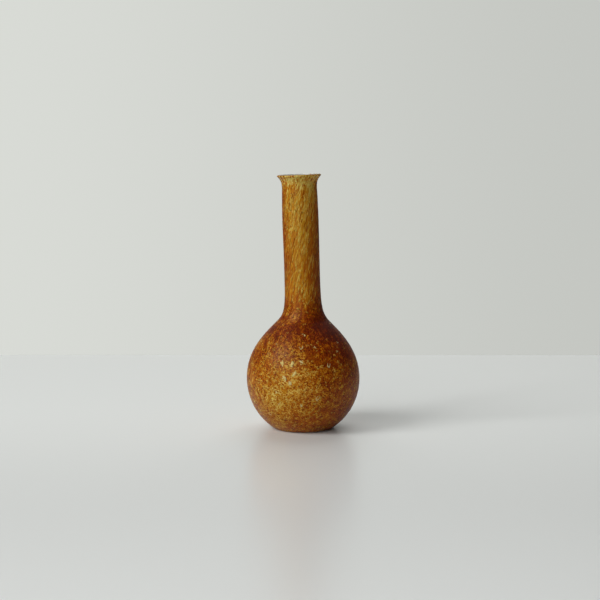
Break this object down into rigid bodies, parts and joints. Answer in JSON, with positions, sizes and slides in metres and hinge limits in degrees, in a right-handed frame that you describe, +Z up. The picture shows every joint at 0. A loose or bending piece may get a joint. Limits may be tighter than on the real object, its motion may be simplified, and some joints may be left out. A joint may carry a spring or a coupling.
{
  "type": "bud vase",
  "caption": "Blown-glass bud vase: round belly on a flat foot, sloping shoulder and a long slim neck with a small flared lip. It holds water and a flower stem upright.",
  "frame": {"origin": "centre of the flat foot, in the plane the vase stands on", "axes": "+Z up along the belly's axis; the neck leans a little towards -X and +Y; -Y is the front"},
  "size_m": [0.0712, 0.0712, 0.1608],
  "materials": {
    "satin_glass": "acid-matted satin; the mottle below shows through it",
    "brown_frit": "fused grains and powder, opaque",
    "amber_glass": "fused powder, nearly opaque",
    "opal_glass": "fire-polished inside, milky"
  },
  "bodies": {
    "root": {"satin_casing": "satin_glass", "brown_frit_layer": "brown_frit", "amber_underlay": "amber_glass", "opal_lining": "opal_glass"}
  },
  "joints": []
}
